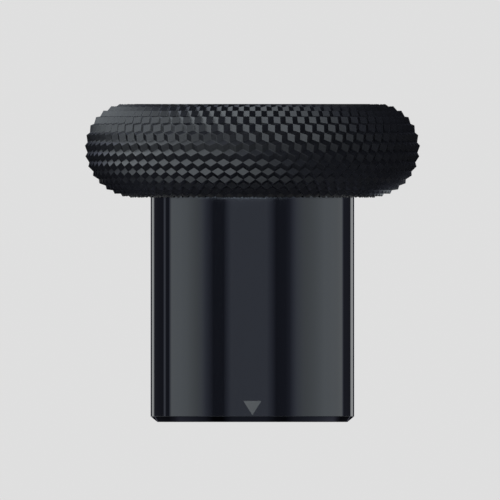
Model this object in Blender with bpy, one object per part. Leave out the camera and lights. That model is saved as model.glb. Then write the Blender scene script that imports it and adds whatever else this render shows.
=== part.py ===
"""Thumbstick cap for a game controller, standing on the open end of its stem.

A knurled grip rim and a concave thumb pad sit on a polished turned sleeve.
A moulded core inside the sleeve has the keyed socket and the magnet that hold the cap on its post.
Metres, +Z up. The origin is the centre of the stem's open end, and the index mark faces -Y.
"""

import math

import bmesh
import bpy

MM = 0.001

# Stem sleeve
STEM_RADIUS = 5.05 * MM
STEM_WALL = 0.90 * MM
STEM_SHOWN = 11.11 * MM
STEM_SEATED = 2.25 * MM
CHAMFER_RISE = 0.27 * MM
CHAMFER_INSET = 0.34 * MM
EDGE_BREAK = 0.06 * MM
STEM_SEGMENTS = 72

# Grip rim: a round section whose crown, from CROWN_START up, has a tighter radius
RIM_RADIUS = 8.32 * MM
RIM_SECTION = 2.47 * MM
CROWN_RADIUS = 2.16 * MM
CROWN_START = math.radians(20)
LIP_WIDTH = 0.16 * MM
LAND_WIDTH = 0.20 * MM
WEB_THICKNESS = 0.70 * MM

# Knurl: three-sided corners in rows around the rim, with crests, saddles and pits a step apart in depth
KNURL_CELLS = 79
KNURL_ROW_PITCH = 0.803
KNURL_STEP = 0.12 * MM
KNURL_ROW_ANGLE = math.radians(2.9)
KNURL_TURN = math.radians(-1.14)
KNURL_TOP_ANGLE = math.radians(90)

# Levels of the knurl's corners, counted upwards from a crest, and how many of them make a row
SADDLE_ABOVE = 1
PIT_ABOVE = 2
PIT_BELOW = -1
SADDLE_BELOW = -2
ROW_LEVELS = 3

# Thumb pad
DISH_DEPTH = 0.95 * MM
PAD_CENTRE_THICKNESS = 0.55 * MM
PAD_EDGE_ROUND = 0.12 * MM
PAD_SEGMENTS = 48
DISH_STEPS = 8

# Socket core and its magnet
CORE_RECESS = 0.35 * MM
CORE_CHAMFER = 0.25 * MM
SPIGOT_RADIUS = 1.60 * MM
SOCKET_RADIUS = 3.10 * MM
SOCKET_FLAT = 2.65 * MM
SOCKET_DEPTH = 8.00 * MM
SOCKET_LEAD_IN = 0.25 * MM
KEY_WIDTH = 1.00 * MM
KEY_REACH = 3.50 * MM
MAGNET_RADIUS = 2.20 * MM
MAGNET_THICKNESS = 1.50 * MM
MAGNET_BEVEL = 0.12 * MM
CORE_SEGMENTS = 48
SOCKET_ARC_STEPS = 8

# Index mark: a paint fill in an engraved triangle that points to the open end
MARK_WIDTH = 0.90 * MM
MARK_HEIGHT = 0.71 * MM
MARK_TIP_HEIGHT = 0.34 * MM
MARK_ENGRAVED = 0.12 * MM
MARK_BELOW_SURFACE = 0.01 * MM
MARK_COLUMNS = 8

# Clearances between pieces
PRESS_GAP = 0.03 * MM
SEAT_GAP = 0.05 * MM
MARK_GAP = 0.01 * MM

# How far a cutter runs past the face that it cuts
OVERCUT = 0.5 * MM

# Heights and radii that follow from the sizes above
SECTION_CENTRE_RADIUS = RIM_RADIUS - RIM_SECTION
SECTION_CENTRE_HEIGHT = STEM_SHOWN + RIM_SECTION
CROWN_CENTRE_RADIUS = SECTION_CENTRE_RADIUS + (RIM_SECTION - CROWN_RADIUS) * math.cos(CROWN_START)
CROWN_CENTRE_HEIGHT = SECTION_CENTRE_HEIGHT + (RIM_SECTION - CROWN_RADIUS) * math.sin(CROWN_START)
STEM_BORE = STEM_RADIUS - STEM_WALL
RIM_BORE = STEM_RADIUS + PRESS_GAP
SLEEVE_TOP = STEM_SHOWN + STEM_SEATED
WEB_BOTTOM = SLEEVE_TOP + SEAT_GAP
WEB_TOP = WEB_BOTTOM + WEB_THICKNESS
SPIGOT_HOLE = SPIGOT_RADIUS + PRESS_GAP
PAD_BOTTOM = WEB_TOP + SEAT_GAP
SOCKET_END = CORE_RECESS + SOCKET_DEPTH
CELL_ANGLE = math.tau / KNURL_CELLS


def clear_scene():
    """Removes whatever the file holds, such as the start-up cube."""
    for item in list(bpy.data.objects):
        bpy.data.objects.remove(item, do_unlink=True)


def material(name, colour, roughness, metallic):
    """A Principled material with a plain colour."""
    mat = bpy.data.materials.new(name)
    mat.use_nodes = True
    shader = mat.node_tree.nodes["Principled BSDF"]
    shader.inputs["Base Color"].default_value = (*colour, 1.0)
    shader.inputs["Roughness"].default_value = roughness
    shader.inputs["Metallic"].default_value = metallic
    mat.diffuse_color = (*colour, 1.0)
    return mat


def add_object(name, bm, mat=None, sharp_degrees=30):
    """Turns a bmesh into a named object in the scene, shaded smooth between its sharp edges."""
    bmesh.ops.recalc_face_normals(bm, faces=bm.faces)
    mesh = bpy.data.meshes.new(name)
    bm.to_mesh(mesh)
    bm.free()
    mesh.shade_smooth()
    mesh.set_sharp_from_angle(angle=math.radians(sharp_degrees))
    if mat is not None:
        mesh.materials.append(mat)
    item = bpy.data.objects.new(name, mesh)
    bpy.context.scene.collection.objects.link(item)
    return item


def around(angle, radius, height):
    """The point at that angle from the front (-Y), turning towards +X."""
    return (radius * math.sin(angle), -radius * math.cos(angle), height)


def ring(bm, radius, height, segments, turn=0.0):
    """One circle of vertices around the Z axis."""
    step = math.tau / segments
    return [bm.verts.new(around(turn + i * step, radius, height)) for i in range(segments)]


def bridge(bm, first, second):
    """A strip of quads between two rings with the same number of vertices."""
    count = len(first)
    for i in range(count):
        j = (i + 1) % count
        bm.faces.new((first[i], first[j], second[j], second[i]))


def turned(name, profile, segments, mat=None, bored=False):
    """A turned solid from a list of (radius, height): capped at both ends, or closed on itself if bored."""
    bm = bmesh.new()
    rings = [ring(bm, radius, height, segments) for radius, height in profile]
    for lower, upper in zip(rings, rings[1:]):
        bridge(bm, lower, upper)
    if bored:
        bridge(bm, rings[-1], rings[0])
    else:
        bm.faces.new(reversed(rings[0]))
        bm.faces.new(rings[-1])
    return add_object(name, bm, mat)


def lofted(name, outlines):
    """A closed solid through a list of (outline, height), each outline with the same number of points."""
    bm = bmesh.new()
    rings = [[bm.verts.new((x, y, height)) for x, y in outline] for outline, height in outlines]
    for lower, upper in zip(rings, rings[1:]):
        bridge(bm, lower, upper)
    bm.faces.new(reversed(rings[0]))
    bm.faces.new(rings[-1])
    return add_object(name, bm)


def cut(item, cutter):
    """Takes the cutter's shape out of the item, and keeps the cutter out of the render."""
    modifier = item.modifiers.new(cutter.name, "BOOLEAN")
    modifier.operation = "DIFFERENCE"
    modifier.solver = "EXACT"
    modifier.object = cutter
    cutter.hide_render = True
    cutter.display_type = "WIRE"


def along_arc(angle, centre, radius):
    """Length along a section arc up to that angle, each bit divided by its distance from the Z axis."""
    root = math.sqrt(centre**2 - radius**2)
    shrink = math.sqrt((centre - radius) / (centre + radius))
    return 2 * radius / root * math.atan(shrink * math.tan(angle / 2))


def arc_angle(travel, centre, radius):
    """The angle at which along_arc reaches that travel."""
    root = math.sqrt(centre**2 - radius**2)
    shrink = math.sqrt((centre - radius) / (centre + radius))
    return 2 * math.atan(math.tan(travel * root / (2 * radius)) / shrink)


def rim_angle(travel):
    """The section angle that lies that far along the rim: 0 is its widest line, up is positive."""
    join = along_arc(CROWN_START, SECTION_CENTRE_RADIUS, RIM_SECTION)
    if travel <= join:
        return arc_angle(travel, SECTION_CENTRE_RADIUS, RIM_SECTION)
    crown_join = along_arc(CROWN_START, CROWN_CENTRE_RADIUS, CROWN_RADIUS)
    return arc_angle(travel - join + crown_join, CROWN_CENTRE_RADIUS, CROWN_RADIUS)


def rim_point(travel, depth):
    """Radius and height of the rim's surface that far along its section, depth below the crests."""
    angle = rim_angle(travel)
    if angle > CROWN_START:
        radius = CROWN_CENTRE_RADIUS + (CROWN_RADIUS - depth) * math.cos(angle)
        return radius, CROWN_CENTRE_HEIGHT + (CROWN_RADIUS - depth) * math.sin(angle)
    radius = SECTION_CENTRE_RADIUS + (RIM_SECTION - depth) * math.cos(angle)
    return radius, SECTION_CENTRE_HEIGHT + (RIM_SECTION - depth) * math.sin(angle)


def knurl_travel(level):
    """How far along the section a knurl level lies. Level 0 is the row of crests at KNURL_ROW_ANGLE."""
    start = along_arc(KNURL_ROW_ANGLE, SECTION_CENTRE_RADIUS, RIM_SECTION)
    return start + level / ROW_LEVELS * KNURL_ROW_PITCH * CELL_ANGLE


def knurl_limits():
    """The levels of the lowest and highest rows of crests that the rim has room for."""
    lowest = 0
    while rim_point(knurl_travel(lowest - 2 * ROW_LEVELS), 0.0)[0] > RIM_BORE + LAND_WIDTH:
        lowest -= ROW_LEVELS
    highest = 0
    while rim_angle(knurl_travel(highest + ROW_LEVELS)) < KNURL_TOP_ANGLE:
        highest += ROW_LEVELS
    return lowest, highest


def lip_radius():
    """The radius of the recess for the thumb pad, inside the lip at the knurl's upper end."""
    highest = knurl_limits()[1]
    return rim_point(knurl_travel(highest + ROW_LEVELS), KNURL_STEP)[0] - LIP_WIDTH


def lip_height():
    """The height of the rim where the knurl ends at the lip."""
    highest = knurl_limits()[1]
    return rim_point(knurl_travel(highest + ROW_LEVELS), KNURL_STEP)[1]


def knurl(bm):
    """Adds the knurled skin and returns the plain rings at its lower and upper ends."""
    lowest, highest = knurl_limits()
    halves = 2 * KNURL_CELLS
    grid = {}
    for level in range(lowest + SADDLE_BELOW, highest + PIT_ABOVE + 1):
        # A crest lies on the surface, a saddle one step below it and a pit two
        radius, height = rim_point(knurl_travel(level), level % ROW_LEVELS * KNURL_STEP)
        for half in range(level % 2, halves, 2):
            angle = KNURL_TURN + half * CELL_ANGLE / 2
            grid[level, half] = bm.verts.new(around(angle, radius, height))

    def corner(level, half):
        return grid[level, half % halves]

    for crest in range(lowest, highest + 1, ROW_LEVELS):
        for half in range(crest % 2, halves, 2):
            top = corner(crest, half)
            below = corner(crest + SADDLE_BELOW, half)
            left = corner(crest + SADDLE_ABOVE, half - 1)
            right = corner(crest + SADDLE_ABOVE, half + 1)
            bm.faces.new((top, right, corner(crest + PIT_ABOVE, half), left))
            bm.faces.new((top, below, corner(crest + PIT_BELOW, half + 1), right))
            bm.faces.new((top, left, corner(crest + PIT_BELOW, half - 1), below))

    ends = []
    for edge, outward in ((lowest + SADDLE_BELOW, -1), (highest + PIT_ABOVE, 1)):
        radius, height = rim_point(knurl_travel(edge + outward), KNURL_STEP)
        turn = KNURL_TURN + edge % 2 * CELL_ANGLE / 2
        plain = ring(bm, radius, height, KNURL_CELLS, turn)
        for i in range(KNURL_CELLS):
            half = edge % 2 + 2 * i
            here = corner(edge, half)
            there = corner(edge, half + 2)
            after = plain[(i + 1) % KNURL_CELLS]
            bm.faces.new((here, there, corner(edge - outward, half + 1)))
            bm.faces.new((here, plain[i], after, there))
        ends.append((plain, radius, height, turn))
    return ends


def make_grip_rim(mat):
    """The knurled ring, with the pad's recess above its web and the stem's bore below."""
    bm = bmesh.new()
    (lower, _, land_height, turn), (upper, _, _, upper_turn) = knurl(bm)
    recess = lip_radius()
    profile = [
        (recess + EDGE_BREAK, lip_height()),
        (recess, lip_height() - EDGE_BREAK),
        (recess, WEB_TOP),
        (SPIGOT_HOLE, WEB_TOP),
        (SPIGOT_HOLE, WEB_BOTTOM),
        (RIM_BORE, WEB_BOTTOM),
        (RIM_BORE, land_height + EDGE_BREAK),
        (RIM_BORE + EDGE_BREAK, land_height),
    ]
    # The rings step round by the half cell that separates the knurl's two ends
    twist = (turn - upper_turn) / (len(profile) + 1)
    rings = [upper]
    for i, (radius, height) in enumerate(profile):
        rings.append(ring(bm, radius, height, KNURL_CELLS, upper_turn + (i + 1) * twist))
    rings.append(lower)
    for first, second in zip(rings, rings[1:]):
        bridge(bm, first, second)
    return add_object("grip_rim", bm, mat, sharp_degrees=15)


def make_thumb_pad(mat):
    """The soft concave pad that lies in the rim's recess."""
    radius = lip_radius() - PRESS_GAP
    centre_height = PAD_BOTTOM + PAD_CENTRE_THICKNESS
    dish_radius = radius - PAD_EDGE_ROUND
    sphere = (dish_radius**2 + DISH_DEPTH**2) / (2 * DISH_DEPTH)
    edge_angle = math.asin(dish_radius / sphere)
    profile = [
        (radius - PAD_EDGE_ROUND, PAD_BOTTOM),
        (radius, PAD_BOTTOM + PAD_EDGE_ROUND),
        (radius, centre_height + DISH_DEPTH - PAD_EDGE_ROUND),
    ]
    for i in range(DISH_STEPS, 0, -1):
        angle = edge_angle * i / DISH_STEPS
        profile.append((sphere * math.sin(angle), centre_height + sphere * (1 - math.cos(angle))))
    return turned("thumb_pad", profile, PAD_SEGMENTS, mat)


def make_stem_sleeve(mat):
    """The polished tube, chamfered at its open end, with the engraved triangle."""
    profile = [
        (STEM_BORE + EDGE_BREAK, 0.0),
        (STEM_RADIUS - CHAMFER_INSET, 0.0),
        (STEM_RADIUS - EDGE_BREAK, CHAMFER_RISE - EDGE_BREAK),
        (STEM_RADIUS, CHAMFER_RISE),
        (STEM_RADIUS, SLEEVE_TOP - EDGE_BREAK),
        (STEM_RADIUS - EDGE_BREAK, SLEEVE_TOP),
        (STEM_BORE + EDGE_BREAK, SLEEVE_TOP),
        (STEM_BORE, SLEEVE_TOP - EDGE_BREAK),
        (STEM_BORE, EDGE_BREAK),
    ]
    sleeve = turned("stem_sleeve", profile, STEM_SEGMENTS, mat, bored=True)
    floor = STEM_RADIUS - MARK_ENGRAVED
    cut(sleeve, mark_solid("mark_cutter", MARK_GAP, STEM_RADIUS + OVERCUT, floor))
    return sleeve


def mark_solid(name, grow, outer, inner, mat=None):
    """The index triangle as a solid from one radius in to a flat back, grown by a gap on every side."""
    slope = math.hypot(MARK_WIDTH / 2, MARK_HEIGHT) / (MARK_WIDTH / 2)
    tip = MARK_TIP_HEIGHT - grow * slope
    top = MARK_TIP_HEIGHT + MARK_HEIGHT + grow
    half_width = MARK_WIDTH / 2 * (top - tip) / MARK_HEIGHT
    outline = [(half_width * (2 * i / MARK_COLUMNS - 1), top) for i in range(MARK_COLUMNS + 1)]
    for i in range(MARK_COLUMNS - 1, 0, -1):
        x = half_width * (2 * i / MARK_COLUMNS - 1)
        outline.append((x, tip + (top - tip) * abs(x) / half_width))
    bm = bmesh.new()
    front = [bm.verts.new((x, -math.sqrt(outer**2 - x**2), z)) for x, z in outline]
    back = [bm.verts.new((x, -inner, z)) for x, z in outline]
    bridge(bm, front, back)
    for side in (front, back):
        bm.faces.new((side[0], side[1], side[-1]))
        for i in range(1, MARK_COLUMNS - 1):
            bm.faces.new((side[i], side[i + 1], side[-i - 1], side[-i]))
        last = MARK_COLUMNS - 1
        bm.faces.new((side[last], side[last + 1], side[last + 2]))
    return add_object(name, bm, mat)


def make_index_mark(mat):
    """The paint fill, a hair below the sleeve's surface."""
    outer = STEM_RADIUS - MARK_BELOW_SURFACE
    inner = STEM_RADIUS - MARK_ENGRAVED + MARK_GAP
    return mark_solid("index_mark", 0.0, outer, inner, mat)


def socket_outline(grow):
    """Half-round ends, two flats and a keyway towards the index mark, grown outwards on every side."""
    radius = SOCKET_RADIUS + grow
    flat = SOCKET_FLAT + grow
    key = KEY_WIDTH / 2 + grow
    reach = KEY_REACH + grow
    flat_angle = math.acos(flat / radius)
    key_angle = math.asin(key / radius)
    points = [(-key, -reach), (key, -reach)]
    start = key_angle - math.pi / 2
    finish = 1.5 * math.pi - key_angle
    spans = [(start, -flat_angle), (flat_angle, math.pi - flat_angle), (math.pi + flat_angle, finish)]
    for first, last in spans:
        for i in range(SOCKET_ARC_STEPS + 1):
            angle = first + (last - first) * i / SOCKET_ARC_STEPS
            points.append((radius * math.cos(angle), radius * math.sin(angle)))
    return points


def make_socket_core(mat):
    """The moulded hub in the sleeve, with the keyed socket below and the spigot that carries the rim."""
    radius = STEM_BORE - PRESS_GAP
    profile = [
        (radius - CORE_CHAMFER, CORE_RECESS),
        (radius, CORE_RECESS + CORE_CHAMFER),
        (radius, SLEEVE_TOP),
        (SPIGOT_RADIUS, SLEEVE_TOP),
        (SPIGOT_RADIUS, WEB_TOP),
    ]
    core = turned("socket_core", profile, CORE_SEGMENTS, mat)
    mouth = socket_outline(SOCKET_LEAD_IN)
    bore = socket_outline(0.0)
    socket = lofted(
        "socket_cutter",
        [
            (mouth, CORE_RECESS - OVERCUT),
            (mouth, CORE_RECESS),
            (bore, CORE_RECESS + SOCKET_LEAD_IN),
            (bore, SOCKET_END),
        ],
    )
    pocket_radius = MAGNET_RADIUS + PRESS_GAP
    pocket_end = SOCKET_END + MAGNET_THICKNESS + SEAT_GAP
    pocket = turned(
        "magnet_pocket_cutter",
        [(pocket_radius, SOCKET_END - OVERCUT), (pocket_radius, pocket_end)],
        CORE_SEGMENTS,
    )
    cut(core, socket)
    cut(core, pocket)
    return core


def make_magnet(mat):
    """The disc magnet, flush with the socket's blind end."""
    top = SOCKET_END + MAGNET_THICKNESS
    profile = [
        (MAGNET_RADIUS - MAGNET_BEVEL, SOCKET_END),
        (MAGNET_RADIUS, SOCKET_END + MAGNET_BEVEL),
        (MAGNET_RADIUS, top - MAGNET_BEVEL),
        (MAGNET_RADIUS - MAGNET_BEVEL, top),
    ]
    return turned("magnet", profile, CORE_SEGMENTS, mat)


def build():
    """Makes the whole cap, one object for each piece."""
    clear_scene()
    make_grip_rim(material("rim_plastic", (0.024, 0.026, 0.029), 0.32, 0.0))
    make_thumb_pad(material("pad_rubber", (0.022, 0.022, 0.024), 0.65, 0.0))
    make_stem_sleeve(material("stem_metal", (0.078, 0.086, 0.096), 0.05, 1.0))
    make_socket_core(material("core_plastic", (0.022, 0.023, 0.025), 0.55, 0.0))
    make_magnet(material("magnet_plating", (0.62, 0.62, 0.60), 0.28, 1.0))
    make_index_mark(material("mark_paint", (0.102, 0.112, 0.120), 0.60, 0.0))


build()
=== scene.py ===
"""Looks of the thumbstick cap: knurled satin rim, polished stem, soft thumb pad and keyed socket."""

import math

import bmesh
import bpy
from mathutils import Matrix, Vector


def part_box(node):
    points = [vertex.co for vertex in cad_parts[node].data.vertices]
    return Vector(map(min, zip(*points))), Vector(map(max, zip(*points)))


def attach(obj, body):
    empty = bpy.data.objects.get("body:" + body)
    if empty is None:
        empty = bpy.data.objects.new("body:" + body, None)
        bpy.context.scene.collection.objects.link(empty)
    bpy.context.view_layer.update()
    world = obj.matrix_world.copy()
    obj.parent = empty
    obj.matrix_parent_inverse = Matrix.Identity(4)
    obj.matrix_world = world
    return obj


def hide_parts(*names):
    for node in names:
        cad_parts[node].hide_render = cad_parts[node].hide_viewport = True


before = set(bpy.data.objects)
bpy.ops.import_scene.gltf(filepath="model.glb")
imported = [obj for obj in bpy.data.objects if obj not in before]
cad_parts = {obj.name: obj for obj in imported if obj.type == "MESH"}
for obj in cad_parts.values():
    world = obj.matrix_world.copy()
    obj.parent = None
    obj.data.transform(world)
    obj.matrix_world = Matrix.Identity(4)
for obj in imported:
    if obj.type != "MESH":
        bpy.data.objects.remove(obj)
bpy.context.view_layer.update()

MM = 0.001

# The photograph: its scale, and where the object's axis and foot lie in it
PHOTO_PIXELS = 500
METRES_PER_PIXEL = 0.0496 * MM
AXIS_PIXEL = 252.4
FOOT_PIXEL = 422.0
CAMERA_DISTANCE = 0.08
CAMERA_NEAR = 0.001
CAMERA_FAR = 10.0

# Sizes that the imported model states
STEM_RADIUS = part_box("stem_sleeve")[1].x
SLEEVE_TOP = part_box("stem_sleeve")[1].z
CORE_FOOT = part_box("socket_core")[0].z
CORE_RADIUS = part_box("socket_core")[1].x
WEB_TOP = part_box("socket_core")[1].z
PAD_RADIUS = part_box("thumb_pad")[1].x
PAD_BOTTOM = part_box("thumb_pad")[0].z
PAD_EDGE_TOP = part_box("thumb_pad")[1].z
MAGNET_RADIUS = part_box("magnet")[1].x
MAGNET_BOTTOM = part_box("magnet")[0].z
MAGNET_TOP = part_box("magnet")[1].z
MARK_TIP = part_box("index_mark")[0].z
MARK_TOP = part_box("index_mark")[1].z
MARK_HALF_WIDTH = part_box("index_mark")[1].x

# Stem and mark, as in the part's source
STEM_WALL = 0.90 * MM
CHAMFER_RISE = 0.27 * MM
CHAMFER_INSET = 0.34 * MM
MARK_ENGRAVED = 0.12 * MM
MARK_BELOW_SURFACE = 0.01 * MM
MARK_GAP = 0.01 * MM

# Rim section and knurl, as in the part's source
RIM_RADIUS = 8.32 * MM
RIM_SECTION = 2.47 * MM
RIM_LOWEST = 11.11 * MM
CROWN_RADIUS = 2.16 * MM
CROWN_START = math.radians(20)
LIP_WIDTH = 0.16 * MM
LAND_WIDTH = 0.20 * MM
WEB_THICKNESS = 0.70 * MM
SPIGOT_RADIUS = 1.60 * MM
PRESS_GAP = 0.03 * MM
KNURL_CELLS = 79
KNURL_ROW_PITCH = 0.803
KNURL_STEP = 0.12 * MM
KNURL_ROW_ANGLE = math.radians(2.9)
KNURL_TURN = math.radians(-1.14)
KNURL_TOP_ANGLE = math.radians(90)

# Levels of the knurl's corners, counted upwards from a crest, and how many of them make a row
SADDLE_ABOVE = 1
PIT_ABOVE = 2
PIT_BELOW = -1
SADDLE_BELOW = -2
ROW_LEVELS = 3

# Pad and socket, as in the part's source
DISH_DEPTH = 0.95 * MM
PAD_EDGE_ROUND = 0.12 * MM
CORE_CHAMFER = 0.25 * MM
SOCKET_RADIUS = 3.10 * MM
SOCKET_FLAT = 2.65 * MM
SOCKET_LEAD_IN = 0.25 * MM
KEY_WIDTH = 1.00 * MM
KEY_REACH = 3.50 * MM
MAGNET_BEVEL = 0.12 * MM
SEAT_GAP = 0.05 * MM
OVERCUT = 0.5 * MM

# Finer than the part's source: the flat lip that ends the knurl, softened edges and smooth curves
LIP_TOP = 15.775 * MM
LIP_CHAMFER = 0.06 * MM
KNURL_ROUND = 0.010 * MM
KNURL_ROUND_STEPS = 2
KNURL_RIDGE_ANGLE = 15
EDGE_ROUND = 0.02 * MM
EDGE_ROUND_LIMIT = 2.1
MARK_MARGIN = 0.15 * MM
MARK_COLUMNS = 16
STEM_SEGMENTS = 384
PAD_SEGMENTS = 192
PAD_ROLL_STEPS = 5
DISH_STEPS = 40
CORE_SEGMENTS = 128
SOCKET_ARC_STEPS = 12
SHARP_ANGLE = 30
CORE_SHARP_ANGLE = 25
SAME_RADIUS = 1e-4

SECTION_CENTRE_RADIUS = RIM_RADIUS - RIM_SECTION
SECTION_CENTRE_HEIGHT = RIM_LOWEST + RIM_SECTION
CROWN_CENTRE_RADIUS = SECTION_CENTRE_RADIUS + (RIM_SECTION - CROWN_RADIUS) * math.cos(CROWN_START)
CROWN_CENTRE_HEIGHT = SECTION_CENTRE_HEIGHT + (RIM_SECTION - CROWN_RADIUS) * math.sin(CROWN_START)
STEM_BORE = STEM_RADIUS - STEM_WALL
RIM_BORE = STEM_RADIUS + PRESS_GAP
CELL_ANGLE = math.tau / KNURL_CELLS

# Studio: plain diffuse light, and what the gloss reflects
PALE = (0.74, 0.74, 0.74)
AMBIENT = 0.34
FLOOR_HALF = 2.0
KEY_AZIMUTH = -50
KEY_ELEVATION = 82
KEY_ANGLE = 40
KEY_STRENGTH = 2.1
KEY_COLOUR = (0.97, 0.99, 1.0)

# Each sheet of the studio goes from a dim tint to a full one, which it has from the brightness FULL up
CARD_TINTS = ((0.95, 0.97, 1.34, 1.0), (0.94, 0.95, 0.94, 1.0))
CARD_FULL = 0.6
TENT_TINTS = ((0.90, 0.98, 1.40, 1.0), (0.90, 0.98, 1.03, 1.0))
TENT_FULL = 2.5
SHELF_FULL = 0.8

# Low ring of cards around the stem: brightness by the azimuth in which the stem's front reflects a ray.
# The table runs past the back, so that the ring closes there
CARD_RADIUS = 0.021
CARD_TOP = 0.0115
CARD_END = 194
CARD_BANDS = [
    (-194, 0.30),
    (-180, 0.30),
    (-170, 0.01),
    (-162, 0.01),
    (-160, 0.70),
    (-151, 0.70),
    (-149, 0.04),
    (-122, 0.06),
    (-120, 0.36),
    (-118, 0.36),
    (-116, 0.07),
    (-110, 0.07),
    (-105, 0.88),
    (-90, 0.89),
    (-80, 0.82),
    (-70, 0.66),
    (-60, 0.48),
    (-54, 0.27),
    (-45, 0.08),
    (-33, 0.08),
    (-24, 0.35),
    (16, 0.35),
    (27, 0.08),
    (38, 0.09),
    (43, 0.14),
    (52, 0.42),
    (60, 0.56),
    (75, 0.71),
    (90, 0.89),
    (104, 0.88),
    (112, 0.82),
    (122, 0.78),
    (127, 0.08),
    (148, 0.03),
    (150, 0.75),
    (160, 0.75),
    (162, 0.01),
    (170, 0.01),
    (180, 0.30),
    (194, 0.30),
]

# Tent that the rim reflects: a long softbox at the upper left, grey cloth elsewhere, open overhead.
# SOFTBOX is the brightness by azimuth, SOFTBOX_FOOT the elevation of the lower edge by azimuth,
# SOFTBOX_FADE the degrees over which that edge fades, SOFTBOX_SHARE the share of the brightness by
# elevation, and SOFTBOX_LEAN the degrees by which the right end moves back for each degree of elevation
TENT_RADIUS = 0.062
TENT_AZIMUTH_STEP = 5
TENT_STEP = 2
TENT_LOW = -12
TENT_HIGH = 80
TENT_REFLECTOR = 0.0075
SOFTBOX = [
    (-180, 0.05),
    (-160, 0.05),
    (-150, 0.25),
    (-135, 1.40),
    (-120, 3.20),
    (-105, 5.60),
    (-90, 6.50),
    (-30, 6.50),
    (-10, 6.00),
    (0, 4.70),
    (15, 2.40),
    (30, 0.60),
    (45, 0.32),
    (60, 0.28),
    (75, 0.20),
    (90, 0.12),
    (120, 0.04),
    (180, 0.04),
]
SOFTBOX_FOOT = [
    (-180, 2.0),
    (-150, 9.0),
    (-135, 12.0),
    (-120, 11.0),
    (-105, 8.0),
    (-90, 6.5),
    (-75, 0.0),
    (-60, -6.5),
    (-45, -11.5),
    (-15, -14.5),
    (15, -15.5),
    (30, -8.0),
    (180, -8.0),
]
SOFTBOX_FADE = 8
SOFTBOX_SHARE = [(-20, 1.25), (0, 1.15), (12, 1.0), (45, 1.05), (55, 0.8), (70, 0.18), (80, 0.08)]
SOFTBOX_LEAN_AZIMUTH = -60
SOFTBOX_LEAN_FROM = 30
SOFTBOX_LEAN_TO = 56
SOFTBOX_LEAN = 1.25

# Painted reflection under the rim: a level sheet just below it, which only the lower facets' reflections
# show, with a dim part as painted shade, a painted lit part at the front and left, and a painted highlight
# along the right edge. Each has its brightness by the radius in mm, and a share of it by azimuth
SHELF_HEIGHT = RIM_LOWEST + 0.02 * MM
SHELF_RADII = [6.5, 6.8, 7.1, 7.3, 7.6, 7.8, 8.4, 8.8, 9.2, 10.0, 11.0, 12.5, 14.0, 16.0, 18.5, 21.0]
SHELF_DIM = [(6.5, 0.15), (7.6, 0.20), (9.0, 0.32), (14.0, 0.45), (21.0, 0.50)]
SHELF_DIM_SHARE = [
    (-180, 0.08),
    (-110, 0.06),
    (-90, 0.12),
    (-70, 0.35),
    (-50, 1.00),
    (45, 1.00),
    (60, 0.45),
    (75, 0.20),
    (90, 0.10),
    (180, 0.10),
]
SHELF_LIT = [(6.5, 0.0), (9.0, 0.0), (10.0, 0.3), (11.0, 1.1), (14.0, 1.70), (18.5, 4.5), (21.0, 5.9)]
SHELF_LIT_SHARE = [
    (-180, 0.00),
    (-110, 0.00),
    (-80, 0.02),
    (-60, 0.10),
    (-45, 0.75),
    (-20, 0.95),
    (0, 1.05),
    (20, 0.45),
    (40, 0.10),
    (60, 0.00),
    (180, 0.00),
]
SHELF_SIDE = [(6.5, 0.9), (7.1, 1.0), (7.5, 0.6), (7.9, 0.5), (8.6, 0.10), (9.2, 0.0), (21.0, 0.0)]
SHELF_SIDE_SHARE = [
    (-180, 0.00),
    (60, 0.00),
    (72, 0.25),
    (84, 1.00),
    (100, 1.00),
    (115, 0.30),
    (130, 0.00),
    (180, 0.00),
]

# Painted reflection under the chamfer: a ring just above the floor, which only the chamfer's reflection
# shows, mostly dark as painted contact shade, dim under the stem's bright bands, with two thin painted
# highlights near 84 degrees either side: brightness by azimuth
FOOT_HEIGHT = 0.01 * MM
FOOT_INNER = STEM_RADIUS - 0.5 * MM
FOOT_OUTER = STEM_RADIUS + 0.4 * MM
FOOT_BANDS = [
    (-180, 0.01),
    (-86, 0.01),
    (-84, 0.16),
    (-82, 0.01),
    (-60, 0.02),
    (-54, 0.05),
    (-49, 0.115),
    (-41, 0.11),
    (-30, 0.07),
    (-24, 0.01),
    (-18, 0.01),
    (-12, 0.085),
    (8, 0.09),
    (14, 0.03),
    (20, 0.02),
    (26, 0.08),
    (36, 0.11),
    (52, 0.15),
    (57, 0.13),
    (62, 0.04),
    (66, 0.01),
    (82, 0.01),
    (84, 0.16),
    (86, 0.01),
    (180, 0.01),
]


def add_object(name, bm, sharp_degrees=SHARP_ANGLE):
    """Turns a bmesh into a named object with its faces out, shaded smooth between its sharp edges."""
    bmesh.ops.recalc_face_normals(bm, faces=bm.faces)
    if bm.calc_volume(signed=True) < 0:
        bmesh.ops.reverse_faces(bm, faces=bm.faces)
    mesh = bpy.data.meshes.new(name)
    bm.to_mesh(mesh)
    bm.free()
    mesh.shade_smooth()
    if sharp_degrees is not None:
        mesh.set_sharp_from_angle(angle=math.radians(sharp_degrees))
    item = bpy.data.objects.new(name, mesh)
    bpy.context.scene.collection.objects.link(item)
    return item


def around(angle, radius, height):
    """The point at that angle from the front (-Y), turning towards +X."""
    return (radius * math.sin(angle), -radius * math.cos(angle), height)


def ring(bm, radius, height, segments, turn=0.0):
    """One circle of vertices around the Z axis."""
    step = math.tau / segments
    return [bm.verts.new(around(turn + i * step, radius, height)) for i in range(segments)]


def bridge(bm, first, second):
    """A strip of quads between two rings with the same number of vertices."""
    count = len(first)
    for i in range(count):
        j = (i + 1) % count
        bm.faces.new((first[i], first[j], second[j], second[i]))


def turned(name, profile, segments, bored=False):
    """A turned solid from a list of (radius, height): capped at both ends, or closed on itself if bored."""
    bm = bmesh.new()
    rings = [ring(bm, radius, height, segments) for radius, height in profile]
    for lower, upper in zip(rings, rings[1:]):
        bridge(bm, lower, upper)
    if bored:
        bridge(bm, rings[-1], rings[0])
    else:
        bm.faces.new(reversed(rings[0]))
        bm.faces.new(rings[-1])
    return add_object(name, bm)


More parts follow.
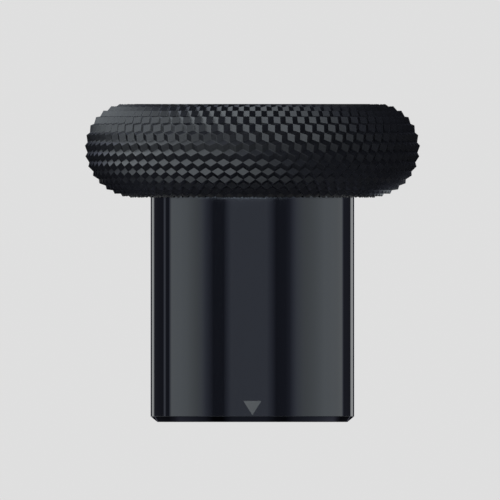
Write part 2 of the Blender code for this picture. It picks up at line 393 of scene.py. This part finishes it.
def rounded(points, radius, steps=4, closed=False):
    """The outline with each corner replaced by a short arc-like curve that starts that far from it."""
    count = len(points)
    result = []
    for i, point in enumerate(points):
        here = Vector(point)
        before = Vector(points[i - 1])
        after = Vector(points[(i + 1) % count])
        if not closed and i in (0, count - 1):
            result.append(tuple(here))
            continue
        back = here + (before - here).normalized() * min(radius, (before - here).length / EDGE_ROUND_LIMIT)
        ahead = here + (after - here).normalized() * min(radius, (after - here).length / EDGE_ROUND_LIMIT)
        for k in range(steps + 1):
            t = k / steps
            curve = back * (1 - t) ** 2 + here * 2 * t * (1 - t) + ahead * t**2
            result.append(tuple(curve))
    return result


def lofted(name, outlines):
    """A closed solid through a list of (outline, height), each outline with the same number of points."""
    bm = bmesh.new()
    rings = [[bm.verts.new((x, y, height)) for x, y in outline] for outline, height in outlines]
    for lower, upper in zip(rings, rings[1:]):
        bridge(bm, lower, upper)
    bm.faces.new(reversed(rings[0]))
    bm.faces.new(rings[-1])
    return add_object(name, bm)


def apply_modifiers(item):
    """Replaces the object's mesh by its evaluated mesh."""
    depsgraph = bpy.context.evaluated_depsgraph_get()
    mesh = bpy.data.meshes.new_from_object(item.evaluated_get(depsgraph))
    item.modifiers.clear()
    item.data = mesh


def cut(item, *cutters):
    """Takes the cutters' shapes out of the item, and deletes them."""
    for cutter in cutters:
        modifier = item.modifiers.new(cutter.name, "BOOLEAN")
        modifier.operation = "DIFFERENCE"
        modifier.solver = "EXACT"
        modifier.object = cutter
    apply_modifiers(item)
    for cutter in cutters:
        bpy.data.objects.remove(cutter, do_unlink=True)


def along_arc(angle, centre, radius):
    """Length along a section arc up to that angle, each bit divided by its distance from the Z axis."""
    root = math.sqrt(centre**2 - radius**2)
    shrink = math.sqrt((centre - radius) / (centre + radius))
    return 2 * radius / root * math.atan(shrink * math.tan(angle / 2))


def arc_angle(travel, centre, radius):
    """The angle at which along_arc reaches that travel."""
    root = math.sqrt(centre**2 - radius**2)
    shrink = math.sqrt((centre - radius) / (centre + radius))
    return 2 * math.atan(math.tan(travel * root / (2 * radius)) / shrink)


def rim_angle(travel):
    """The section angle that lies that far along the rim: 0 is its widest line, up is positive."""
    join = along_arc(CROWN_START, SECTION_CENTRE_RADIUS, RIM_SECTION)
    if travel <= join:
        return arc_angle(travel, SECTION_CENTRE_RADIUS, RIM_SECTION)
    crown_join = along_arc(CROWN_START, CROWN_CENTRE_RADIUS, CROWN_RADIUS)
    return arc_angle(travel - join + crown_join, CROWN_CENTRE_RADIUS, CROWN_RADIUS)


def rim_point(travel, depth):
    """Radius and height of the rim's surface that far along its section, depth below the crests."""
    angle = rim_angle(travel)
    if angle > CROWN_START:
        radius = CROWN_CENTRE_RADIUS + (CROWN_RADIUS - depth) * math.cos(angle)
        return radius, CROWN_CENTRE_HEIGHT + (CROWN_RADIUS - depth) * math.sin(angle)
    radius = SECTION_CENTRE_RADIUS + (RIM_SECTION - depth) * math.cos(angle)
    return radius, SECTION_CENTRE_HEIGHT + (RIM_SECTION - depth) * math.sin(angle)


def knurl_travel(level):
    """How far along the section a knurl level lies. Three levels make a row: crests, saddles and pits."""
    start = along_arc(KNURL_ROW_ANGLE, SECTION_CENTRE_RADIUS, RIM_SECTION)
    return start + level / ROW_LEVELS * KNURL_ROW_PITCH * CELL_ANGLE


def knurl_limits():
    """The levels of the lowest and highest rows of crests that the rim has room for."""
    lowest = 0
    while rim_point(knurl_travel(lowest - 2 * ROW_LEVELS), 0.0)[0] > RIM_BORE + LAND_WIDTH:
        lowest -= ROW_LEVELS
    highest = 0
    while rim_angle(knurl_travel(highest + ROW_LEVELS)) < KNURL_TOP_ANGLE:
        highest += ROW_LEVELS
    return lowest, highest


def knurl(bm):
    """Adds the knurled skin, cut off level at the lip, and returns the plain rings at its two ends."""
    lowest, highest = knurl_limits()
    halves = 2 * KNURL_CELLS
    grid = {}
    for level in range(lowest + SADDLE_BELOW, highest + PIT_ABOVE + 1):
        # A crest lies on the surface, a saddle one step below it and a pit two
        radius, height = rim_point(knurl_travel(level), level % ROW_LEVELS * KNURL_STEP)
        for half in range(level % 2, halves, 2):
            angle = KNURL_TURN + half * CELL_ANGLE / 2
            grid[level, half] = bm.verts.new(around(angle, radius, min(height, LIP_TOP)))

    def corner(level, half):
        return grid[level, half % halves]

    for crest in range(lowest, highest + 1, ROW_LEVELS):
        for half in range(crest % 2, halves, 2):
            top = corner(crest, half)
            below = corner(crest + SADDLE_BELOW, half)
            left = corner(crest + SADDLE_ABOVE, half - 1)
            right = corner(crest + SADDLE_ABOVE, half + 1)
            bm.faces.new((top, right, corner(crest + PIT_ABOVE, half), left))
            bm.faces.new((top, below, corner(crest + PIT_BELOW, half + 1), right))
            bm.faces.new((top, left, corner(crest + PIT_BELOW, half - 1), below))

    ends = []
    for edge, outward in ((lowest + SADDLE_BELOW, -1), (highest + PIT_ABOVE, 1)):
        radius, height = rim_point(knurl_travel(edge + outward), KNURL_STEP)
        if outward > 0:
            height = LIP_TOP
        turn = KNURL_TURN + edge % 2 * CELL_ANGLE / 2
        plain = ring(bm, radius, height, KNURL_CELLS, turn)
        for i in range(KNURL_CELLS):
            half = edge % 2 + 2 * i
            here = corner(edge, half)
            there = corner(edge, half + 2)
            after = plain[(i + 1) % KNURL_CELLS]
            bm.faces.new((here, there, corner(edge - outward, half + 1)))
            bm.faces.new((here, plain[i], after, there))
        ends.append((plain, radius, height, turn))
    return ends


def make_rim():
    """The knurled ring with softened ridges, the pad's recess and the stem's bore."""
    bm = bmesh.new()
    (lower, _, land_height, turn), (upper, lip_radius, _, upper_turn) = knurl(bm)
    recess = lip_radius - LIP_WIDTH
    web_bottom = WEB_TOP - WEB_THICKNESS
    spigot_hole = SPIGOT_RADIUS + PRESS_GAP
    profile = [
        (recess + LIP_CHAMFER, LIP_TOP),
        (recess, LIP_TOP - LIP_CHAMFER),
        (recess, WEB_TOP),
        (spigot_hole, WEB_TOP),
        (spigot_hole, web_bottom),
        (RIM_BORE, web_bottom),
        (RIM_BORE, land_height + LIP_CHAMFER),
        (RIM_BORE + LIP_CHAMFER, land_height),
    ]
    # The rings step round by the half cell that separates the knurl's two ends
    twist = (turn - upper_turn) / (len(profile) + 1)
    rings = [upper]
    for i, (radius, height) in enumerate(profile):
        rings.append(ring(bm, radius, height, KNURL_CELLS, upper_turn + (i + 1) * twist))
    rings.append(lower)
    for first, second in zip(rings, rings[1:]):
        bridge(bm, first, second)
    rim = add_object("knurled_rim", bm, sharp_degrees=None)
    bevel = rim.modifiers.new("ridge_round", "BEVEL")
    bevel.width = KNURL_ROUND
    bevel.segments = KNURL_ROUND_STEPS
    bevel.limit_method = "ANGLE"
    bevel.angle_limit = math.radians(KNURL_RIDGE_ANGLE)
    bevel.harden_normals = True
    apply_modifiers(rim)
    return rim


def make_sleeve():
    """The polished tube with softened edges and the engraved triangle."""
    corners = [
        (STEM_BORE, 0.0),
        (STEM_RADIUS - CHAMFER_INSET, 0.0),
        (STEM_RADIUS, CHAMFER_RISE),
        (STEM_RADIUS, SLEEVE_TOP),
        (STEM_BORE, SLEEVE_TOP),
    ]
    profile = rounded(corners, EDGE_ROUND, steps=4, closed=True)
    # A ring above the mark keeps the faces that its pocket cuts short
    above_mark = MARK_TOP + MARK_MARGIN
    wall_top = next(i for i, (_, height) in enumerate(profile) if height > above_mark)
    profile.insert(wall_top, (STEM_RADIUS, above_mark))
    sleeve = turned("polished_sleeve", profile, STEM_SEGMENTS, bored=True)
    cut(sleeve, mark_solid("mark_pocket", MARK_GAP, STEM_RADIUS + OVERCUT, STEM_RADIUS - MARK_ENGRAVED))
    true_round(sleeve, STEM_RADIUS)
    return sleeve


def true_round(item, radius):
    """Sets the normals of the faces on that radius square to the Z axis, and the others by angle."""
    mesh = item.data
    mesh.shade_smooth()
    mesh.set_sharp_from_angle(angle=math.radians(SHARP_ANGLE))
    tolerance = radius * SAME_RADIUS
    normals = [(0.0, 0.0, 0.0)] * len(mesh.loops)
    for face in mesh.polygons:
        corners = [mesh.vertices[index].co for index in face.vertices]
        if all(abs(math.hypot(co.x, co.y) - radius) < tolerance for co in corners):
            for loop, co in zip(face.loop_indices, corners):
                normals[loop] = (co.x / radius, co.y / radius, 0.0)
    mesh.normals_split_custom_set(normals)


def mark_solid(name, grow, outer, inner):
    """The index triangle as a solid from one radius in to a flat back, grown by a gap on every side."""
    columns = MARK_COLUMNS
    width = 2 * MARK_HALF_WIDTH
    height = MARK_TOP - MARK_TIP
    slope = math.hypot(width / 2, height) / (width / 2)
    tip = MARK_TIP - grow * slope
    top = MARK_TOP + grow
    half_width = width / 2 * (top - tip) / height
    outline = [(half_width * (2 * i / columns - 1), top) for i in range(columns + 1)]
    for i in range(columns - 1, 0, -1):
        x = half_width * (2 * i / columns - 1)
        outline.append((x, tip + (top - tip) * abs(x) / half_width))
    bm = bmesh.new()
    front = [bm.verts.new((x, -math.sqrt(outer**2 - x**2), z)) for x, z in outline]
    back = [bm.verts.new((x, -inner, z)) for x, z in outline]
    bridge(bm, front, back)
    for side in (front, back):
        bm.faces.new((side[0], side[1], side[-1]))
        for i in range(1, columns - 1):
            bm.faces.new((side[i], side[i + 1], side[-i - 1], side[-i]))
        bm.faces.new((side[columns - 1], side[columns], side[columns + 1]))
    return add_object(name, bm)


def make_mark():
    """The paint fill in its pocket."""
    inner = STEM_RADIUS - MARK_ENGRAVED + MARK_GAP
    return mark_solid("index_triangle", 0.0, STEM_RADIUS - MARK_BELOW_SURFACE, inner)


def make_pad():
    """The concave pad with a rolled edge."""
    centre_height = PAD_EDGE_TOP - DISH_DEPTH
    dish_radius = PAD_RADIUS - PAD_EDGE_ROUND
    sphere = (dish_radius**2 + DISH_DEPTH**2) / (2 * DISH_DEPTH)
    edge_angle = math.asin(dish_radius / sphere)
    profile = [
        (PAD_RADIUS - PAD_EDGE_ROUND, PAD_BOTTOM),
        (PAD_RADIUS, PAD_BOTTOM + PAD_EDGE_ROUND),
    ]
    for i in range(PAD_ROLL_STEPS + 1):
        angle = math.pi / 2 * i / PAD_ROLL_STEPS
        profile.append(
            (
                PAD_RADIUS - PAD_EDGE_ROUND * (1 - math.cos(angle)),
                PAD_EDGE_TOP - PAD_EDGE_ROUND * (1 - math.sin(angle)),
            )
        )
    for i in range(DISH_STEPS - 1, 0, -1):
        angle = edge_angle * i / DISH_STEPS
        profile.append((sphere * math.sin(angle), centre_height + sphere * (1 - math.cos(angle))))
    return turned("dished_pad", profile, PAD_SEGMENTS)


def socket_outline(grow):
    """Half-round ends, two flats and a keyway towards the index mark, grown outwards on every side."""
    radius = SOCKET_RADIUS + grow
    flat = SOCKET_FLAT + grow
    key = KEY_WIDTH / 2 + grow
    reach = KEY_REACH + grow
    flat_angle = math.acos(flat / radius)
    key_angle = math.asin(key / radius)
    points = [(-key, -reach), (key, -reach)]
    start = key_angle - math.pi / 2
    finish = 1.5 * math.pi - key_angle
    spans = [(start, -flat_angle), (flat_angle, math.pi - flat_angle), (math.pi + flat_angle, finish)]
    for first, last in spans:
        for i in range(SOCKET_ARC_STEPS + 1):
            angle = first + (last - first) * i / SOCKET_ARC_STEPS
            points.append((radius * math.cos(angle), radius * math.sin(angle)))
    return points


def make_core():
    """The moulded hub with its keyed socket, lead-in and the magnet's pocket."""
    corners = [
        (0.0, CORE_FOOT),
        (CORE_RADIUS - CORE_CHAMFER, CORE_FOOT),
        (CORE_RADIUS, CORE_FOOT + CORE_CHAMFER),
        (CORE_RADIUS, SLEEVE_TOP),
        (SPIGOT_RADIUS, SLEEVE_TOP),
        (SPIGOT_RADIUS, WEB_TOP),
        (0.0, WEB_TOP),
    ]
    profile = rounded(corners, EDGE_ROUND, steps=3)[1:-1]
    core = turned("moulded_core", profile, CORE_SEGMENTS)
    mouth = socket_outline(SOCKET_LEAD_IN)
    bore = socket_outline(0.0)
    socket = lofted(
        "socket_cutter",
        [
            (mouth, CORE_FOOT - OVERCUT),
            (mouth, CORE_FOOT),
            (bore, CORE_FOOT + SOCKET_LEAD_IN),
            (bore, MAGNET_BOTTOM),
        ],
    )
    pocket_radius = MAGNET_RADIUS + PRESS_GAP
    pocket = turned(
        "pocket_cutter",
        [(pocket_radius, MAGNET_BOTTOM - OVERCUT), (pocket_radius, MAGNET_TOP + SEAT_GAP)],
        CORE_SEGMENTS,
    )
    cut(core, socket, pocket)
    core.data.shade_smooth()
    core.data.set_sharp_from_angle(angle=math.radians(CORE_SHARP_ANGLE))
    return core


def make_magnet():
    """The plated disc at the socket's blind end."""
    corners = [
        (0.0, MAGNET_BOTTOM),
        (MAGNET_RADIUS, MAGNET_BOTTOM),
        (MAGNET_RADIUS, MAGNET_TOP),
        (0.0, MAGNET_TOP),
    ]
    profile = rounded(corners, MAGNET_BEVEL, steps=5)[1:-1]
    return turned("magnet_disc", profile, CORE_SEGMENTS)


class Surface:
    """A Principled material to which bumps and slow changes of roughness and colour are added."""

    def __init__(self, name, colour, roughness, metallic=0.0, specular=0.5):
        self.material = bpy.data.materials.new(name)
        self.material.use_nodes = True
        self.tree = self.material.node_tree
        self.shader = self.tree.nodes["Principled BSDF"]
        self.shader.inputs["Base Color"].default_value = (*colour, 1.0)
        self.shader.inputs["Roughness"].default_value = roughness
        self.shader.inputs["Metallic"].default_value = metallic
        self.shader.inputs["Specular IOR Level"].default_value = specular
        self.place = self.node("ShaderNodeTexCoord").outputs["Object"]
        self.normal = None

    def node(self, kind, **settings):
        """A new node with those settings."""
        made = self.tree.nodes.new(kind)
        for name, value in settings.items():
            setattr(made, name, value)
        return made

    def link(self, output, target):
        """Joins an output to an input."""
        self.tree.links.new(output, target)

    def scaled(self, scale):
        """Object coordinates multiplied along each axis, per metre."""
        mapping = self.node("ShaderNodeMapping")
        mapping.inputs["Scale"].default_value = scale
        self.link(self.place, mapping.inputs["Vector"])
        return mapping.outputs["Vector"]

    def noise(self, size, detail=3.0, stretch=(1, 1, 1)):
        """Noise with blobs about that size in metres."""
        texture = self.node("ShaderNodeTexNoise")
        texture.inputs["Scale"].default_value = 1.0
        texture.inputs["Detail"].default_value = detail
        self.link(self.scaled([s / size for s in stretch]), texture.inputs["Vector"])
        return texture.outputs["Fac"]

    def cells(self, size, feature="SMOOTH_F1"):
        """Distance to the nearest cell centre, for cells about that size in metres."""
        texture = self.node("ShaderNodeTexVoronoi", feature=feature)
        texture.inputs["Scale"].default_value = 1.0
        self.link(self.scaled([1 / size] * 3), texture.inputs["Vector"])
        return texture.outputs["Distance"]

    def ramp(self, value, low, high, from_low=0.3, from_high=0.7):
        """The value mapped from one range to another."""
        mapped = self.node("ShaderNodeMapRange")
        mapped.inputs["From Min"].default_value = from_low
        mapped.inputs["From Max"].default_value = from_high
        mapped.inputs["To Min"].default_value = low
        mapped.inputs["To Max"].default_value = high
        self.link(value, mapped.inputs["Value"])
        return mapped.outputs["Result"]

    def bump(self, height, distance, strength=1.0):
        """Adds a bump of that height in metres."""
        node = self.node("ShaderNodeBump")
        node.inputs["Distance"].default_value = distance
        node.inputs["Strength"].default_value = strength
        self.link(height, node.inputs["Height"])
        if self.normal is not None:
            self.link(self.normal, node.inputs["Normal"])
        self.normal = node.outputs["Normal"]
        self.link(self.normal, self.shader.inputs["Normal"])

    def vary_roughness(self, value, low, high):
        """Roughness that drifts between two values."""
        self.link(self.ramp(value, low, high), self.shader.inputs["Roughness"])

    def vary_colour(self, value, dark, light):
        """Colour that drifts between two tones."""
        mix = self.node("ShaderNodeMix", data_type="RGBA")
        mix.inputs["A"].default_value = (*dark, 1.0)
        mix.inputs["B"].default_value = (*light, 1.0)
        self.link(self.ramp(value, 0.0, 1.0), mix.inputs["Factor"])
        self.link(mix.outputs["Result"], self.shader.inputs["Base Color"])


def rim_surface():
    """Satin moulded plastic with a fine spark-eroded grain."""
    s = Surface("satin_charcoal", (0.0065, 0.0070, 0.0090), 0.30, specular=0.16)
    s.vary_colour(s.noise(0.6 * MM), (0.0060, 0.0065, 0.0080), (0.0070, 0.0075, 0.0100))
    s.vary_roughness(s.noise(0.25 * MM), 0.26, 0.33)
    s.bump(s.noise(0.03 * MM, detail=2.0), 0.0006 * MM)
    return s.material


def sleeve_surface():
    """Black polished metal with the faint rings that turning leaves."""
    s = Surface("polished_black", (0.078, 0.086, 0.096), 0.03, metallic=1.0)
    s.vary_roughness(s.noise(1.5 * MM, detail=4.0), 0.025, 0.045)
    s.bump(s.noise(0.05 * MM, detail=1.0, stretch=(0.02, 0.02, 1)), 0.00001 * MM)
    return s.material


def pad_surface():
    """Soft-touch rubber with a fine pebbled grain."""
    s = Surface("soft_touch_rubber", (0.022, 0.022, 0.024), 0.62, specular=0.4)
    s.vary_colour(s.noise(0.8 * MM), (0.019, 0.019, 0.021), (0.026, 0.026, 0.028))
    s.vary_roughness(s.noise(0.4 * MM), 0.56, 0.70)
    s.bump(s.cells(0.16 * MM), 0.012 * MM, 0.6)
    s.bump(s.noise(0.04 * MM), 0.003 * MM, 0.6)
    return s.material


def core_surface():
    """Moulded black plastic with a light grain."""
    s = Surface("moulded_black", (0.016, 0.016, 0.018), 0.46)
    s.vary_roughness(s.noise(0.5 * MM), 0.40, 0.54)
    s.bump(s.noise(0.06 * MM), 0.003 * MM, 0.5)
    return s.material


def magnet_surface():
    """Bright plating with a soft turned grain and handling marks."""
    s = Surface("bright_plating", (0.60, 0.59, 0.57), 0.24, metallic=1.0)
    s.vary_roughness(s.noise(0.4 * MM, detail=5.0), 0.18, 0.34)
    s.bump(s.noise(0.08 * MM), 0.0015 * MM, 0.5)
    return s.material


def mark_surface():
    """Matte grey paint."""
    s = Surface("grey_paint", (0.102, 0.112, 0.120), 0.60, specular=0.3)
    s.vary_colour(s.noise(0.12 * MM), (0.097, 0.107, 0.115), (0.107, 0.117, 0.125))
    s.bump(s.noise(0.03 * MM), 0.002 * MM, 0.5)
    return s.material


def dress(item, material, node):
    """Gives a piece its material, rides it on the cap and lets it stand for its CAD node."""
    item.data.materials.clear()
    item.data.materials.append(material)
    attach(item, "root")
    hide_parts(node)


def pale_for_seen_rays(tree, plain, shown, target):
    """Mixes in the shown shader for camera, glossy and transmission rays, in place of the plain one."""
    path = tree.nodes.new("ShaderNodeLightPath")
    either = None
    for name in ("Is Camera Ray", "Is Glossy Ray", "Is Transmission Ray"):
        if either is None:
            either = path.outputs[name]
            continue
        add = tree.nodes.new("ShaderNodeMath")
        add.operation = "MAXIMUM"
        tree.links.new(either, add.inputs[0])
        tree.links.new(path.outputs[name], add.inputs[1])
        either = add.outputs[0]
    mix = tree.nodes.new("ShaderNodeMixShader")
    tree.links.new(either, mix.inputs[0])
    tree.links.new(plain, mix.inputs[1])
    tree.links.new(shown, mix.inputs[2])
    tree.links.new(mix.outputs[0], target)


def make_world():
    """A pale surround, which lights the object at a plain level."""
    world = bpy.data.worlds.new("studio")
    world.use_nodes = True
    tree = world.node_tree
    tree.nodes.clear()
    output = tree.nodes.new("ShaderNodeOutputWorld")
    light = tree.nodes.new("ShaderNodeBackground")
    light.inputs["Color"].default_value = (AMBIENT, AMBIENT, AMBIENT, 1.0)
    shown = tree.nodes.new("ShaderNodeBackground")
    shown.inputs["Color"].default_value = (*PALE, 1.0)
    pale_for_seen_rays(tree, light.outputs[0], shown.outputs[0], output.inputs["Surface"])
    bpy.context.scene.world = world


def make_floor():
    """A plain pale floor under the stem's open end, without gloss."""
    bm = bmesh.new()
    bmesh.ops.create_grid(bm, x_segments=1, y_segments=1, size=FLOOR_HALF)
    floor = add_object("floor", bm)
    s = Surface("pale_floor", PALE, 1.0, specular=0.0)
    s.vary_colour(s.noise(2.0 * MM), [c * 0.99 for c in PALE], [c * 1.01 for c in PALE])
    floor.data.materials.append(s.material)


def between(table, place):
    """The value at that place in a table of (place, value), joined by straight lines, or 0 outside it."""
    for (first, low), (last, high) in zip(table, table[1:]):
        if first <= place <= last:
            return low + (high - low) * (place - first) / (last - first)
    return 0.0


def card_material(tints, full):
    """Light of the brightness that each corner's glow gives, from a dim tint to a full one."""
    material = bpy.data.materials.new("card_light")
    material.use_nodes = True
    tree = material.node_tree
    tree.nodes.clear()
    attribute = tree.nodes.new("ShaderNodeAttribute")
    attribute.attribute_name = "glow"
    share = tree.nodes.new("ShaderNodeMapRange")
    share.inputs["From Max"].default_value = full
    tint = tree.nodes.new("ShaderNodeMix")
    tint.data_type = "RGBA"
    tint.inputs["A"].default_value, tint.inputs["B"].default_value = tints
    emission = tree.nodes.new("ShaderNodeEmission")
    tree.links.new(attribute.outputs["Fac"], share.inputs["Value"])
    tree.links.new(share.outputs["Result"], tint.inputs["Factor"])
    tree.links.new(tint.outputs["Result"], emission.inputs["Color"])
    output = tree.nodes.new("ShaderNodeOutputMaterial")
    tree.links.new(attribute.outputs["Fac"], emission.inputs["Strength"])
    tree.links.new(emission.outputs[0], output.inputs["Surface"])
    return material


def met(angle, reflector, sheet):
    """Angle at which a sheet of one radius is met by the level ray that a reflector's front sends off."""
    return angle - math.asin(reflector / sheet * math.sin(angle / 2))


def reflected_sheet(name, azimuths, rows, place, brightness, tints, full):
    """A sheet around the object that only reflections show. Place and brightness follow azimuth and row."""
    bm = bmesh.new()
    glow = bm.verts.layers.float.new("glow")
    columns = []
    for azimuth in azimuths:
        column = [bm.verts.new(place(math.radians(azimuth), row)) for row in rows]
        for vert, row in zip(column, rows):
            vert[glow] = brightness(azimuth, row)
        columns.append(column)
    for left, right in zip(columns, columns[1:] + columns[:1]):
        for i in range(len(rows) - 1):
            bm.faces.new((left[i], right[i], right[i + 1], left[i + 1]))
    sheet = add_object(name, bm)
    sheet.data.materials.append(card_material(tints, full))
    sheet.visible_camera = False
    sheet.visible_diffuse = False
    sheet.visible_shadow = False


def make_cards():
    """The low ring of grey and white cards, which the polished stem shows as upright bands."""

    def place(angle, height):
        return around(met(angle, STEM_RADIUS, CARD_RADIUS), CARD_RADIUS, height)

    def brightness(azimuth, height):
        return between(CARD_BANDS, azimuth)

    azimuths = range(-CARD_END, CARD_END + 1)
    rows = (0.0, CARD_TOP)
    reflected_sheet("studio_cards", azimuths, rows, place, brightness, CARD_TINTS, CARD_FULL)


def make_tent():
    """The softbox and grey cloth around the rim."""

    def place(angle, elevation):
        tilt = math.radians(elevation)
        height = SECTION_CENTRE_HEIGHT + TENT_RADIUS * math.sin(tilt)
        return around(met(angle, TENT_REFLECTOR, TENT_RADIUS), TENT_RADIUS * math.cos(tilt), height)

    def brightness(azimuth, elevation):
        above_foot = elevation - between(SOFTBOX_FOOT, azimuth)
        edge = min(max(0.5 + above_foot / SOFTBOX_FADE, 0.0), 1.0)
        lean = 0.0
        if azimuth > SOFTBOX_LEAN_AZIMUTH:
            lean = SOFTBOX_LEAN * max(min(elevation, SOFTBOX_LEAN_TO) - SOFTBOX_LEAN_FROM, 0.0)
        along = min(azimuth + lean, 180)
        return between(SOFTBOX, along) * between(SOFTBOX_SHARE, elevation) * edge

    azimuths = range(-180, 181, TENT_AZIMUTH_STEP)
    elevations = range(TENT_LOW, TENT_HIGH + 1, TENT_STEP)
    reflected_sheet("studio_tent", azimuths, elevations, place, brightness, TENT_TINTS, TENT_FULL)


def make_painted_facet_reflection():
    """The level sheet just below the rim and above the ring of cards, which paints the lower facets'
    reflection: painted shade with painted lit parts.
    """

    def place(angle, radius):
        return around(angle, radius * MM, SHELF_HEIGHT)

    def brightness(azimuth, radius):
        dim = between(SHELF_DIM, radius) * between(SHELF_DIM_SHARE, azimuth)
        lit = between(SHELF_LIT, radius) * between(SHELF_LIT_SHARE, azimuth)
        return dim + lit + between(SHELF_SIDE, radius) * between(SHELF_SIDE_SHARE, azimuth)

    azimuths = range(-180, 181, TENT_AZIMUTH_STEP)
    # Painted shade and painted highlights for the rim's lower facets, seen only in their reflection
    reflected_sheet("painted_facet_reflection", azimuths, SHELF_RADII, place, brightness, TENT_TINTS, SHELF_FULL)


def make_painted_chamfer_reflection():
    """The ring just above the floor, under the chamfer, which paints its reflection: painted contact shade
    with dim bands and thin painted highlights.
    """

    def place(angle, radius):
        return around(angle, radius, FOOT_HEIGHT)

    def brightness(azimuth, radius):
        return between(FOOT_BANDS, azimuth)

    rows = (FOOT_INNER, FOOT_OUTER)
    # Painted contact shade and thin painted highlights for the chamfer, seen only in its reflection
    reflected_sheet("painted_chamfer_reflection", range(-180, 181), rows, place, brightness, CARD_TINTS, CARD_FULL)


def make_key():
    """One large soft key light from nearly overhead, a little to the left of the front."""
    light = bpy.data.lights.new("key", "SUN")
    light.energy = KEY_STRENGTH
    light.angle = math.radians(KEY_ANGLE)
    light.color = KEY_COLOUR
    item = bpy.data.objects.new("key", light)
    bpy.context.scene.collection.objects.link(item)
    towards = Vector(around(math.radians(KEY_AZIMUTH), math.cos(math.radians(KEY_ELEVATION)), 0.0))
    towards.z = math.sin(math.radians(KEY_ELEVATION))
    item.rotation_euler = towards.to_track_quat("Z", "Y").to_euler()
    item.visible_glossy = False


def make_camera():
    """Level with the object and square to its front, with parallel lines kept parallel."""
    camera = bpy.data.cameras.new("camera")
    camera.type = "ORTHO"
    camera.ortho_scale = PHOTO_PIXELS * METRES_PER_PIXEL
    camera.clip_start = CAMERA_NEAR
    camera.clip_end = CAMERA_FAR
    item = bpy.data.objects.new("camera", camera)
    bpy.context.scene.collection.objects.link(item)
    middle = PHOTO_PIXELS / 2
    x = (middle - AXIS_PIXEL) * METRES_PER_PIXEL
    z = (FOOT_PIXEL - middle) * METRES_PER_PIXEL
    item.location = (x, -CAMERA_DISTANCE, z)
    item.rotation_euler = (math.pi / 2, 0.0, 0.0)
    bpy.context.scene.camera = item


make_camera()
make_world()
make_floor()
make_cards()
make_tent()
make_painted_facet_reflection()
make_painted_chamfer_reflection()
make_key()
dress(make_rim(), rim_surface(), "grip_rim")
dress(make_sleeve(), sleeve_surface(), "stem_sleeve")
dress(make_mark(), mark_surface(), "index_mark")
dress(make_pad(), pad_surface(), "thumb_pad")
dress(make_core(), core_surface(), "socket_core")
dress(make_magnet(), magnet_surface(), "magnet")

bpy.context.scene.view_settings.view_transform = "Standard"
